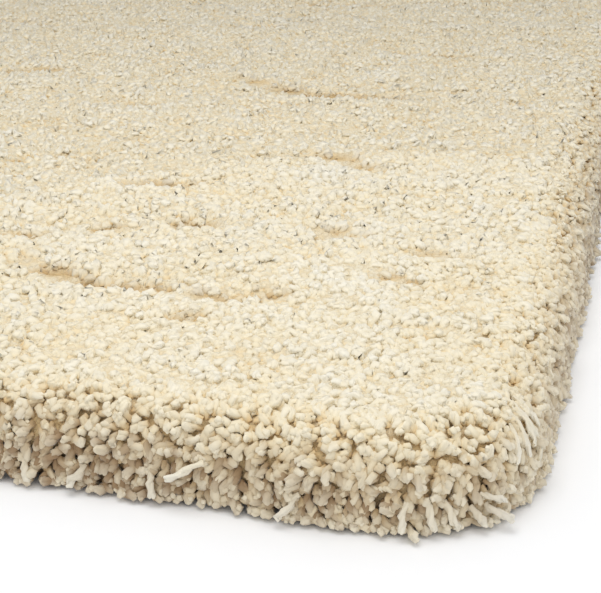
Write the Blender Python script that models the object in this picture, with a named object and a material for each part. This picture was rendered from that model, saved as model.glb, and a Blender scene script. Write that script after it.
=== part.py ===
"""Shag rug: a flat tufted mat whose pile rolls over its edge and hangs to the floor.

One solid in metres, +Z up. The origin is at the middle of the underside, the rug lies on z = 0, and its
long side runs along Y. The top follows the pile's tips: an even height with soft unevenness, a rolled
edge all round, and partings where the pile has been brushed open.
"""

import math
from collections import namedtuple

import bmesh
import bpy
from mathutils import Vector

# Driving dimensions, in metres.
WIDTH = 0.600  # along X, over the hanging pile
LENGTH = 0.900  # along Y, over the hanging pile
PILE_HEIGHT = 0.032  # mean height of the pile's tips over the floor
CORNER_RADIUS = 0.056

# The edge, where the pile turns over.
EDGE_ROLL = 0.030  # how far in from the outline the pile reaches its full height
EDGE_FOOT = 0.004  # height of the upright foot at the outline
ROLL_POWER = 2.3  # 2 is a quarter ellipse, and more is a squarer shoulder
RIM_LINES = (0.0, 0.0022, 0.0062, 0.0125, 0.0205, EDGE_ROLL)  # grid lines across the roll
CELL = 0.0138  # grid spacing inside the roll

# Slow unevenness. Each wave is a height, a wavelength along X, one along Y, and a start angle. A
# negative wavelength along X makes the wave's crests climb towards +X.
Wave = namedtuple("Wave", "height span_x span_y start")
TOP_WAVES = (
    Wave(0.0007, -0.460, 0.131, 0.6),
    Wave(0.0006, -0.290, 0.083, 2.1),
    Wave(0.0004, 0.170, 0.057, 4.0),
)
# The outline's scallops, by distance along the edge.
Scallop = namedtuple("Scallop", "depth span start")
SCALLOPS = (
    Scallop(0.0013, 0.173, 0.4),
    Scallop(0.0010, 0.067, 1.9),
    Scallop(0.0007, 0.038, 3.3),
)

# Partings in the pile, in millimetres and degrees: the middle, the length and the full width, how far
# the bottom lies under the tips, the turn from +X, and how far the middle bows out to its left.
Parting = namedtuple("Parting", "x y length width depth turn bow")
PARTINGS = (
    Parting(101, -329, 84, 26, 5.0, -11, -9),
    Parting(66, -282, 52, 22, 3.5, 16, 2),
    Parting(119, -256, 36, 22, 3.5, 14, 0),
    Parting(107, 13, 132, 28, 4.5, -10, -14),
    Parting(161, 124, 70, 28, 4.0, 2, 3),
    Parting(8, 187, 62, 26, 3.0, 14, -3),
    Parting(162, -149, 62, 24, 3.5, -25, 7),
    Parting(187, -253, 40, 22, 3.0, -18, 0),
    Parting(237, -272, 34, 20, 3.0, -16, 0),
    Parting(170, -336, 44, 22, 3.0, 8, -2),
    Parting(88, -211, 56, 24, 3.0, 18, 3),
    Parting(13, -54, 52, 24, 3.0, 16, -5),
    Parting(-90, 4, 64, 26, 3.5, 20, 4),
    Parting(-120, -150, 78, 26, 3.5, 8, -6),
    Parting(-185, -300, 60, 24, 3.5, -12, 5),
    Parting(-40, -392, 56, 22, 3.0, 5, -3),
    Parting(-170, 150, 86, 28, 4.0, -8, 8),
    Parting(60, 300, 92, 28, 4.0, 10, -7),
    Parting(-130, 340, 70, 26, 3.5, 4, 5),
    Parting(210, 366, 58, 24, 3.0, -14, 4),
)
MM = 0.001

IVORY = (0.83, 0.76, 0.62, 1.0)


def grid_lines(side):
    """Places of the grid lines across a side, closer together over the rolled edge."""
    half = side / 2
    rim = [-half + offset for offset in RIM_LINES]
    inner_cells = round((side - 2 * EDGE_ROLL) / CELL)
    inner_step = (side - 2 * EDGE_ROLL) / inner_cells
    inner = [rim[-1] + inner_step * i for i in range(1, inner_cells)]
    return rim + inner + [-place for place in reversed(rim)]


def round_corner(x, y):
    """A point of the plain rectangle, moved so that the rectangle's corners become quarter circles."""
    over_x = abs(x) - (WIDTH / 2 - CORNER_RADIUS)
    over_y = abs(y) - (LENGTH / 2 - CORNER_RADIUS)
    if over_x <= 0 or over_y <= 0:
        return x, y
    share_x = over_x / CORNER_RADIUS
    share_y = over_y / CORNER_RADIUS
    new_x = WIDTH / 2 - CORNER_RADIUS + over_x * math.sqrt(1 - share_y**2 / 2)
    new_y = LENGTH / 2 - CORNER_RADIUS + over_y * math.sqrt(1 - share_x**2 / 2)
    return math.copysign(new_x, x), math.copysign(new_y, y)


def edge_distance(x, y):
    """How far inside the rounded outline a point lies."""
    over_x = abs(x) - (WIDTH / 2 - CORNER_RADIUS)
    over_y = abs(y) - (LENGTH / 2 - CORNER_RADIUS)
    if over_x > 0 and over_y > 0:
        return CORNER_RADIUS - math.hypot(over_x, over_y)
    return CORNER_RADIUS - max(over_x, over_y)


def scalloped(x, y):
    """A point near the outline, drawn in or let out by the scallops of the hanging pile."""
    nearness = max(0.0, 1 - edge_distance(x, y) / EDGE_ROLL)
    along = math.atan2(y / LENGTH, x / WIDTH) * (WIDTH + LENGTH) / math.pi
    depth = sum(s.depth * (1 + math.sin(math.tau * along / s.span + s.start)) / 2 for s in SCALLOPS)
    middle = Vector((x, y)).normalized() * depth * nearness
    return x - middle.x, y - middle.y


def parting_depth(parting, x, y):
    """How far one parting lowers the pile at a point: a soft trough that runs out at both ends."""
    turn = math.radians(parting.turn)
    off = Vector((x / MM - parting.x, y / MM - parting.y))
    along = off.x * math.cos(turn) + off.y * math.sin(turn)
    across = off.y * math.cos(turn) - off.x * math.sin(turn)
    run = 2 * along / parting.length
    if abs(run) >= 1:
        return 0.0
    across -= parting.bow * (1 - run**2)
    spread = 2 * across / parting.width
    if abs(spread) >= 1:
        return 0.0
    return parting.depth * MM * (1 - run**2) * (1 - spread**2) ** 2


def pile_height(x, y):
    """Height of the pile's tips over the floor."""
    top = PILE_HEIGHT
    for wave in TOP_WAVES:
        bend = 0.4 * math.sin(math.tau * x / wave.span_x)
        top += wave.height * math.sin(math.tau * (x / wave.span_x + y / wave.span_y) + wave.start + bend)
    top -= max(parting_depth(parting, x, y) for parting in PARTINGS)
    inwards = min(1.0, max(0.0, edge_distance(x, y) / EDGE_ROLL))
    roll = (1 - (1 - inwards) ** ROLL_POWER) ** (1 / ROLL_POWER)
    return EDGE_FOOT + (top - EDGE_FOOT) * roll


def make_rug():
    """The rug's solid: a shaped top sheet, carried down to the floor and closed flat underneath."""
    lines_x = grid_lines(WIDTH)
    lines_y = grid_lines(LENGTH)
    mesh = bmesh.new()
    # The unit grid's points are read back as line numbers, which give each point its real place.
    bmesh.ops.create_grid(mesh, x_segments=len(lines_x) - 1, y_segments=len(lines_y) - 1, size=0.5)
    for vert in mesh.verts:
        column = round((vert.co.x + 0.5) * (len(lines_x) - 1))
        row = round((vert.co.y + 0.5) * (len(lines_y) - 1))
        x, y = round_corner(lines_x[column], lines_y[row])
        vert.co = (*scalloped(x, y), pile_height(x, y))

    rim = [edge for edge in mesh.edges if edge.is_boundary]
    foot = bmesh.ops.extrude_edge_only(mesh, edges=rim)["geom"]
    for vert in (item for item in foot if isinstance(item, bmesh.types.BMVert)):
        vert.co.z = 0.0
    open_edges = [edge for edge in mesh.edges if edge.is_boundary]
    bmesh.ops.edgeloop_fill(mesh, edges=open_edges)
    bmesh.ops.recalc_face_normals(mesh, faces=mesh.faces)

    data = bpy.data.meshes.new("rug")
    mesh.to_mesh(data)
    mesh.free()
    return bpy.data.objects.new("rug", data)


def yarn_material():
    """Ivory wool-like yarn: pale, warm and without gloss."""
    material = bpy.data.materials.new("ivory_pile")
    material.use_nodes = True
    shader = material.node_tree.nodes["Principled BSDF"]
    shader.inputs["Base Color"].default_value = IVORY
    shader.inputs["Roughness"].default_value = 0.9
    shader.inputs["Metallic"].default_value = 0.0
    return material


def main():
    for old in list(bpy.data.objects):
        bpy.data.objects.remove(old)
    parts = bpy.data.collections.new("shag_rug")
    bpy.context.scene.collection.children.link(parts)

    rug = make_rug()
    rug.data.materials.append(yarn_material())
    rug.data.shade_smooth()
    parts.objects.link(rug)


main()
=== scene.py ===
"""Looks of an ivory shag rug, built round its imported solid.

The rug is one tufted piece: thick curly yarns stand on a woven backing, roll over its edge and hang to
the floor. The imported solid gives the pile's outer form. Every yarn here is a curve that follows that
form, swept into a tube by Geometry Nodes.
"""

import logging
import math
from dataclasses import dataclass, field
from enum import Enum

import bmesh
import bpy
import numpy as np
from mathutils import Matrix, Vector
from mathutils.bvhtree import BVHTree

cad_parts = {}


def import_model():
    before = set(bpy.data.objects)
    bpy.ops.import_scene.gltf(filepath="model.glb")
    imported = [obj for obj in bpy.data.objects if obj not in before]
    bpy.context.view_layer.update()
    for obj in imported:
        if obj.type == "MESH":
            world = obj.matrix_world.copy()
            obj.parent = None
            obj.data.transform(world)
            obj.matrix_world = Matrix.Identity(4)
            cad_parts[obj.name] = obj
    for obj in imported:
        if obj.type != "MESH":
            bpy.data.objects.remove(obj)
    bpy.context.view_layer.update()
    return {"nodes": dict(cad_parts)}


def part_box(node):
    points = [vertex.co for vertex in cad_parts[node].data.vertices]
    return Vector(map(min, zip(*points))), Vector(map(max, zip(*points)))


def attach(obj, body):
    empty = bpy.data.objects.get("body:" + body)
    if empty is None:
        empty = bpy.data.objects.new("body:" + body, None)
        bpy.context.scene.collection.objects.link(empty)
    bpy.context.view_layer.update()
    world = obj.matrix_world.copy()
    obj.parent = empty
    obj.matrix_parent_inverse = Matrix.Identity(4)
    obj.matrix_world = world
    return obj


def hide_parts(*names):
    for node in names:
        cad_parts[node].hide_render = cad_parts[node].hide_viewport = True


LOG = logging.getLogger("shag_rug")
Colour = tuple[float, float, float]
Place = tuple[float, float, float]
MM = 0.001
RUG_NODE = "rug"
BODY = "root"


def smooth_step(values: np.ndarray, low: float, high: float) -> np.ndarray:
    """Ease from 0 at low to 1 at high."""
    share = np.clip((values - low) / (high - low), 0.0, 1.0)
    return share * share * (3.0 - 2.0 * share)


# ---------------------------------------------------------------------------------------------------
# Form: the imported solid, read as a height map and as a map of its rolled edge
# ---------------------------------------------------------------------------------------------------


@dataclass
class Outline:
    """The rug's plain outline, a rectangle with round corners, walked anticlockwise.

    Attributes:
        half_x: Half the width along X.
        half_y: Half the length along Y.
        radius: Radius of the corners.
    """

    half_x: float
    half_y: float
    radius: float
    step: float = 1.0 * MM

    def __post_init__(self) -> None:
        """Lay out points, outward normals and distances along the outline."""
        points, normals = [], []
        straight_x = self.half_x - self.radius
        straight_y = self.half_y - self.radius
        arc_steps = round(self.radius * math.pi / 2 / self.step)
        corners = ((1, -1, -90), (1, 1, 0), (-1, 1, 90), (-1, -1, 180))
        for index, (side_x, side_y, start) in enumerate(corners):
            centre = np.array((side_x * straight_x, side_y * straight_y))
            for angle in np.radians(start + np.linspace(0, 90, arc_steps + 1)):
                normal = np.array((math.cos(angle), math.sin(angle)))
                points.append(centre + self.radius * normal)
                normals.append(normal)
            run = 2 * (straight_y if index % 2 == 0 else straight_x)
            forward = np.array((-normals[-1][1], normals[-1][0]))
            for place in np.arange(self.step, run, self.step):
                points.append(centre + self.radius * normals[-1] + forward * place)
                normals.append(normals[-1])
        self.points = np.array(points + points[:1])
        self.normals = np.array(normals + normals[:1])
        gaps = np.linalg.norm(np.diff(self.points, axis=0), axis=1)
        self.marks = np.concatenate(([0.0], np.cumsum(gaps)))
        self.length = float(self.marks[-1])

    def at(self, along: np.ndarray) -> tuple[np.ndarray, np.ndarray]:
        """Point and outward normal at a distance along the outline.

        Args:
            along: Distances along the outline, in metres.

        Returns:
            The points and the unit normals, each with a last axis of two.
        """
        place = np.mod(along, self.length)
        point = np.stack([np.interp(place, self.marks, self.points[:, i]) for i in (0, 1)], axis=-1)
        normal = np.stack([np.interp(place, self.marks, self.normals[:, i]) for i in (0, 1)], axis=-1)
        return point, normal / np.linalg.norm(normal, axis=-1, keepdims=True)

    def inset(self, x: np.ndarray, y: np.ndarray) -> tuple[np.ndarray, np.ndarray]:
        """How far inside the outline points lie, and the way out.

        Args:
            x: Places along X.
            y: Places along Y.

        Returns:
            The distances to the outline, and unit vectors that point straight out.
        """
        over_x = np.abs(x) - (self.half_x - self.radius)
        over_y = np.abs(y) - (self.half_y - self.radius)
        corner = (over_x > 0) & (over_y > 0)
        reach = np.hypot(over_x, over_y) + 1e-9
        distance = np.where(corner, self.radius - reach, self.radius - np.maximum(over_x, over_y))
        out_x = np.where(corner, over_x / reach, over_x > over_y) * np.sign(x)
        out_y = np.where(corner, over_y / reach, over_x <= over_y) * np.sign(y)
        return distance, np.stack((out_x, out_y), axis=-1)


class PileForm:
    """The pile's outer form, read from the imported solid."""

    CORNER_RADIUS = 56 * MM
    RASTER = 2.5 * MM
    ROLL_REACH = 30 * MM  # how far in the edge's roll goes
    ROLL_STEP = 1.0 * MM
    ROLL_STATION = 6.0 * MM

    def __init__(self, node: bpy.types.Object) -> None:
        """Read the solid.

        Args:
            node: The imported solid's object. It isn't changed.
        """
        self.low, self.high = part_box(node.name)
        self.outline = Outline(
            (self.high.x - self.low.x) / 2, (self.high.y - self.low.y) / 2, self.CORNER_RADIUS
        )
        mesh = bmesh.new()
        mesh.from_mesh(node.data)
        bmesh.ops.remove_doubles(mesh, verts=mesh.verts, dist=0.02 * MM)
        self.solid = mesh
        self.tree = BVHTree.FromBMesh(mesh)
        self._read_heights()
        self._read_roll()

    def _read_heights(self) -> None:
        """Cast rays down on a raster, so that heights can be looked up quickly."""
        self.raster_x = np.arange(self.low.x, self.high.x + self.RASTER, self.RASTER)
        self.raster_y = np.arange(self.low.y, self.high.y + self.RASTER, self.RASTER)
        heights = np.zeros((len(self.raster_x), len(self.raster_y)))
        down = Vector((0, 0, -1))
        for i, x in enumerate(self.raster_x):
            for j, y in enumerate(self.raster_y):
                hit = self.tree.ray_cast(Vector((x, y, 1.0)), down)[0]
                heights[i, j] = hit.z if hit else 0.0
        self.raster_heights = heights

    def height(self, x: np.ndarray, y: np.ndarray) -> np.ndarray:
        """Height of the pile's tips, between raster points read in proportion.

        Args:
            x: Places along X.
            y: Places along Y.

        Returns:
            The height at each place.
        """
        grid_x = np.clip((x - self.low.x) / self.RASTER, 0, len(self.raster_x) - 1.001)
        grid_y = np.clip((y - self.low.y) / self.RASTER, 0, len(self.raster_y) - 1.001)
        i, j = grid_x.astype(int), grid_y.astype(int)
        u, v = grid_x - i, grid_y - j
        table = self.raster_heights
        near = table[i, j] * (1 - u) + table[i + 1, j] * u
        far = table[i, j + 1] * (1 - u) + table[i + 1, j + 1] * u
        return near * (1 - v) + far * v

    def _read_roll(self) -> None:
        """Walk the edge's profile at stations round the outline, from the floor up and over."""
        stations = round(self.outline.length / self.ROLL_STATION)
        self.station_step = self.outline.length / stations
        crown = self.high.z
        turn = np.linspace(0, math.pi / 2, 15)
        guess = [(self.ROLL_REACH * (1 - math.cos(t)), crown * math.sin(t)) for t in turn]
        guess += [(self.ROLL_REACH + 3 * MM * i, crown) for i in range(1, 8)]
        profiles = []
        for station in range(stations):
            point, normal = self.outline.at(np.array(station * self.station_step))
            found = []
            for across, up in guess:
                place = Vector((*(point - normal * across), up))
                found.append(self.tree.find_nearest(place)[0])
            found[0] = Vector((found[0].x, found[0].y, 0.0))
            profiles.append(self._even_profile(np.array(found)))
        rows = min(len(profile) for profile in profiles)
        self.roll_points = np.array([profile[:rows] for profile in profiles])
        up_profile = np.gradient(self.roll_points, axis=1)
        ahead = np.roll(self.roll_points, -1, axis=0) - np.roll(self.roll_points, 1, axis=0)
        normals = np.cross(ahead, up_profile)
        kernel = np.array((1, 2, 3, 2, 1)) / 9
        padded = np.pad(normals, ((0, 0), (2, 2), (0, 0)), mode="edge")
        smooth = sum(weight * padded[:, i : i + rows] for i, weight in enumerate(kernel))
        self.roll_normals = smooth / np.linalg.norm(smooth, axis=-1, keepdims=True)

    def _even_profile(self, points: np.ndarray) -> np.ndarray:
        """The profile with a point every ROLL_STEP of its own length.

        Args:
            points: The profile's points, from the floor up.

        Returns:
            The evenly spaced points.
        """
        gaps = np.linalg.norm(np.diff(points, axis=0), axis=1)
        marks = np.concatenate(([0.0], np.cumsum(gaps)))
        even = np.arange(0.0, marks[-1], self.ROLL_STEP)
        return np.stack([np.interp(even, marks, points[:, i]) for i in range(3)], axis=-1)

    def on_roll(
        self, along: np.ndarray, up: np.ndarray, off: np.ndarray
    ) -> tuple[np.ndarray, np.ndarray]:
        """Points on the rolled edge.

        Args:
            along: Distance along the outline.
            up: Distance up the edge's profile from the floor.
            off: Distance off the surface, outwards.

        Returns:
            The points in space and the unit normals there, each with a last axis of three.
        """
        stations, rows = self.roll_points.shape[:2]
        place = np.mod(along / self.station_step, stations)
        i = place.astype(int)
        u = (place - i)[..., None]
        i_next = (i + 1) % stations
        row = np.clip(up / self.ROLL_STEP, 0, rows - 1.001)
        j = row.astype(int)
        v = (row - j)[..., None]

        def mixed(table: np.ndarray) -> np.ndarray:
            """A table's values at the places, in proportion between its stations and rows."""
            near = table[i % stations, j] * (1 - u) + table[i_next, j] * u
            far = table[i % stations, j + 1] * (1 - u) + table[i_next, j + 1] * u
            return near * (1 - v) + far * v

        normal = mixed(self.roll_normals)
        normal /= np.linalg.norm(normal, axis=-1, keepdims=True)
        return mixed(self.roll_points) + normal * off[..., None], normal


# ---------------------------------------------------------------------------------------------------
# Lay of the pile: clumps that lean together, and partings that open it
# ---------------------------------------------------------------------------------------------------


@dataclass(frozen=True)
class Parting:
    """A place where the pile has been brushed open, in millimetres and degrees.

    Attributes:
        x, y: The middle.
        length: From end to end.
        reach: How far to each side yarns lean away from it.
        depth: How far the tips drop along its line.
        turn: Direction, from +X towards +Y.
        bow: How far the middle bows out to its left.
    """

    x: float
    y: float
    length: float
    reach: float
    depth: float
    turn: float
    bow: float = 0.0

    GROOVE = 3.2  # half width of the line where tips drop
    SHADE_HALF_WIDTH = 3.4  # half width of the band of painted shade
    SHADE_PAST = 2.0  # how far past the line that band lies
    FULL_SHADE_DEPTH = 4.5  # depth of a parting that gets the full painted shade

    def pull(self, x: np.ndarray, y: np.ndarray) -> tuple[np.ndarray, np.ndarray, np.ndarray]:
        """What the parting does to yarns.

        Args:
            x: Root places along X, in metres.
            y: Root places along Y, in metres.

        Returns:
            The sideways push on each yarn, as vectors no longer than 1, the drop of its tip in metres, and
            the share of painted shade on a band just past its line, from 0 to about 1.
        """
        turn = math.radians(self.turn)
        off_x, off_y = x / MM - self.x, y / MM - self.y
        run = 2 * (off_x * math.cos(turn) + off_y * math.sin(turn)) / self.length
        across = off_y * math.cos(turn) - off_x * math.sin(turn) - self.bow * (1 - run**2)
        wobble = 1.2 * np.sin(run * 7.0 + self.x) + 0.8 * np.sin(run * 17.0 + self.y)
        across = across + wobble
        ends = np.clip(1 - run**2, 0, 1) ** 0.5
        strength = ends * np.exp(-((across / self.reach) ** 2))
        side = np.where(across >= 0, 1.0, -1.0) * strength
        push = np.stack((-math.sin(turn) * side, math.cos(turn) * side), axis=-1)
        drop = self.depth * MM * ends * np.exp(-((across / self.GROOVE) ** 2))
        # A band of painted shade just past the line, on its far side
        strip = np.exp(-(((across - self.SHADE_PAST) / self.SHADE_HALF_WIDTH) ** 2))
        shade_share = ends * self.depth / self.FULL_SHADE_DEPTH * strip
        return push, drop, shade_share


# Millimetres and degrees, in the order of the fields: x, y, length, reach, depth, turn, bow.
PARTINGS = (
    Parting(101, -329, 84, 9, 4.5, -11, -9),
    Parting(49, -293, 30, 8, 3.5, 16),
    Parting(88, -275, 26, 8, 3.5, 14, 1),
    Parting(119, -256, 28, 8, 4.0, 14),
    Parting(107, 13, 132, 12, 5.5, -10, -14),
    Parting(161, 124, 66, 12, 5.0, 2, 3),
    Parting(8, 187, 60, 12, 4.5, 14, -3),
    Parting(162, -149, 58, 9, 4.0, -25, 7),
    Parting(187, -253, 34, 8, 3.5, -18),
    Parting(237, -272, 30, 8, 3.0, -16),
    Parting(225, -306, 24, 7, 3.0, -9),
    Parting(157, -340, 24, 7, 3.5, 14),
    Parting(179, -331, 20, 7, 3.0, -8),
    Parting(157, -365, 22, 7, 3.0, 14),
    Parting(88, -211, 52, 8, 3.5, 18, 3),
    Parting(13, -54, 46, 9, 3.5, 16, -5),
    Parting(-90, 4, 60, 10, 4.0, 20, 4),
    Parting(-120, -150, 78, 10, 4.0, 8, -6),
    Parting(-185, -300, 60, 9, 3.5, -12, 5),
    Parting(-40, -392, 56, 8, 3.0, 5, -3),
    Parting(-170, 150, 86, 11, 4.5, -8, 8),
    Parting(60, 300, 92, 11, 4.5, 10, -7),
    Parting(-130, 340, 70, 10, 4.0, 4, 5),
    Parting(210, 366, 58, 10, 3.5, -14, 4),
)


@dataclass
class PileLay:
    """How yarns lean: in clumps, and away from partings.

    Attributes:
        clump_across: Size of a clump along the rows.
        clump_deep: Size of a clump across the rows.
        clump_turn: Direction of the rows of clumps, from +X.
        clump_lean: How far a clump's tips lie to one side.
        crease: How far tips drop between two clumps.
        parting_lean: How far tips lie over beside a parting.
    """

    half_x: float
    half_y: float
    clump_across: float = 21 * MM
    clump_deep: float = 11 * MM
    clump_turn: float = math.radians(9)
    clump_lean: float = 2.6 * MM
    crease: float = 1.6 * MM
    unevenness: float = 0.5 * MM
    parting_lean: float = 5.0 * MM
    seed: int = 31

    def __post_init__(self) -> None:
        """Scatter the clumps."""
        draw = np.random.RandomState(self.seed)
        reach = math.hypot(self.half_x, self.half_y)
        rows = np.arange(-reach, reach, self.clump_deep)
        columns = np.arange(-reach, reach, self.clump_across)
        grid_x, grid_y = np.meshgrid(columns, rows)
        grid_x = grid_x + (np.arange(len(rows)) % 2)[:, None] * self.clump_across / 2
        grid_x = grid_x.ravel() + draw.uniform(-0.42, 0.42, grid_x.size) * self.clump_across
        grid_y = grid_y.ravel() + draw.uniform(-0.42, 0.42, grid_y.size) * self.clump_deep
        cos, sin = math.cos(self.clump_turn), math.sin(self.clump_turn)
        x, y = grid_x * cos - grid_y * sin, grid_x * sin + grid_y * cos
        kept = (np.abs(x) < self.half_x + 0.02) & (np.abs(y) < self.half_y + 0.02)
        self.centres = np.stack((x[kept], y[kept]), axis=-1)
        count = len(self.centres)
        way = draw.uniform(0, math.tau, count)
        force = draw.uniform(0.2, 1.0, count) * self.clump_lean
        self.leans = np.stack((0.6 * np.cos(way) * force, np.sin(way) * force), axis=-1)
        self.lifts = draw.normal(0, self.unevenness, count)
        self.tones = draw.uniform(-1, 1, count)

    def _clump_space(self, points: np.ndarray) -> np.ndarray:
        """Points in a space where a clump is one unit each way.

        Args:
            points: Rows of x and y.

        Returns:
            Rows of places along and across the rows of clumps, in clumps.
        """
        cos, sin = math.cos(self.clump_turn), math.sin(self.clump_turn)
        along = points[:, 0] * cos + points[:, 1] * sin
        deep = points[:, 1] * cos - points[:, 0] * sin
        return np.stack((along / self.clump_across, deep / self.clump_deep), axis=-1)

    def read(self, roots: np.ndarray) -> tuple[np.ndarray, np.ndarray, np.ndarray, np.ndarray]:
        """How the yarns with these roots lie.

        Args:
            roots: Root places, as rows of x and y.

        Returns:
            The lean of each tip, its lift, the tone of its clump from -1 to 1, and the share of painted
            shade that partings put there.
        """
        lean = np.zeros_like(roots)
        lift = np.zeros(len(roots))
        tone = np.zeros(len(roots))
        parting_shade = np.zeros(len(roots))
        centres = self._clump_space(self.centres)
        places = self._clump_space(roots)
        for start in range(0, len(roots), 2000):
            part = slice(start, start + 2000)
            away = ((places[part, None, :] - centres[None]) ** 2).sum(-1)
            near = np.argpartition(away, 1, axis=1)[:, :2]
            distances = np.sqrt(np.take_along_axis(away, near, axis=1))
            order = np.argsort(distances, axis=1)
            near = np.take_along_axis(near, order, axis=1)
            distances = np.take_along_axis(distances, order, axis=1)
            own = near[:, 0]
            between = 1 - smooth_step(distances[:, 1] - distances[:, 0], 0.0, 0.28)
            apart = ((self.leans[own] - self.leans[near[:, 1]]) ** 2).sum(-1) ** 0.5 / self.clump_lean
            lean[part] = self.leans[own]
            lift[part] = self.lifts[own] - self.crease * between * np.clip(apart, 0, 1.2)
            tone[part] = self.tones[own]
        for parting in PARTINGS:
            push, drop, shade_share = parting.pull(roots[:, 0], roots[:, 1])
            lean += push * self.parting_lean
            lift -= drop
            parting_shade = np.maximum(parting_shade, shade_share)
        return lean, lift, tone, parting_shade


# ---------------------------------------------------------------------------------------------------
# Finishes
# ---------------------------------------------------------------------------------------------------


class NodeBench:
    """A node tree that is being built, with short ways to add and join nodes."""

    def __init__(self, tree: bpy.types.NodeTree) -> None:
        """Keep the tree."""
        self.tree = tree

    def add(self, kind: str, links: dict | None = None, **settings: object) -> bpy.types.Node:
        """Add a node.

        Args:
            kind: The node's type name.
            links: Input name or number to a value, or to the output socket that feeds it.
            **settings: Properties of the node itself.

        Returns:
            The new node.
        """
        node = self.tree.nodes.new(kind)
        for name, value in settings.items():
            setattr(node, name, value)
        for key, value in (links or {}).items():
            socket = node.inputs[key]
            if isinstance(value, bpy.types.NodeSocket):
                self.tree.links.new(value, socket)
            else:
                socket.default_value = value
        return node

    def maths(self, operation: str, *terms: object) -> bpy.types.NodeSocket:
        """Output of a Math node on one to three terms, each a number or a socket."""
        node = self.add("ShaderNodeMath", dict(enumerate(terms)), operation=operation)
        return node.outputs[0]

    def mix_colour(self, factor: object, first: object, second: object, blend: str = "MIX") -> object:
        """Output of a colour mix.

        Args:
            factor: Share of the second colour, a value or a socket.
            first: First colour, a value or a socket.
            second: Second colour, a value or a socket.
            blend: How the two are blended.

        Returns:
            The mixed colour's socket.
        """
        node = self.add("ShaderNodeMix", data_type="RGBA", blend_type=blend)
        for index, value in ((0, factor), (6, first), (7, second)):
            if isinstance(value, bpy.types.NodeSocket):
                self.tree.links.new(value, node.inputs[index])
            else:
                node.inputs[index].default_value = value
        return node.outputs[2]


def put_in_scene(name: str, data: bpy.types.ID) -> bpy.types.Object:
    """Make an object of a mesh, lamp or camera, and link it.

    Args:
        name: Its name.
        data: What it shows.

    Returns:
        The object, at the origin.
    """
    piece = bpy.data.objects.new(name, data)
    bpy.context.scene.collection.objects.link(piece)
    return piece


def opaque(colour: Colour) -> tuple[float, float, float, float]:
    """A colour with full alpha."""
    return (*colour, 1.0)


def twist_group() -> bpy.types.NodeTree:
    """Shader group: the height of a twisted yarn's plies and fibres over its mean surface.

    Returns:
        The group, with the inputs Run, Cos, Sin, Lead, Whole, Place and the output Height.
    """
    name = "yarn_twist"
    if name in bpy.data.node_groups:
        return bpy.data.node_groups[name]
    group = bpy.data.node_groups.new(name, "ShaderNodeTree")
    for socket in ("Run", "Cos", "Sin", "Lead", "Whole"):
        group.interface.new_socket(socket, in_out="INPUT", socket_type="NodeSocketFloat")
    group.interface.new_socket("Place", in_out="INPUT", socket_type="NodeSocketVector")
    group.interface.new_socket("Height", in_out="OUTPUT", socket_type="NodeSocketFloat")
    bench = NodeBench(group)
    given = bench.add("NodeGroupInput").outputs
    angle = bench.maths("ARCTAN2", given["Sin"], given["Cos"])
    turns = bench.maths("DIVIDE", given["Run"], given["Lead"])
    phase = bench.maths("SUBTRACT", angle, bench.maths("MULTIPLY", turns, math.tau))
    ply = bench.maths("ABSOLUTE", bench.maths("COSINE", phase))
    fibre = bench.add(
        "ShaderNodeTexNoise", {"Vector": given["Place"], "Scale": 1500.0, "Detail": 2.0, "Roughness": 0.6}
    ).outputs[0]
    groove = bench.maths("MULTIPLY", ply, bench.maths("MULTIPLY", given["Whole"], 0.7))
    height = bench.maths("MULTIPLY_ADD", fibre, 0.35, groove)
    bench.add("NodeGroupOutput", {"Height": height})
    return group


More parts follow.
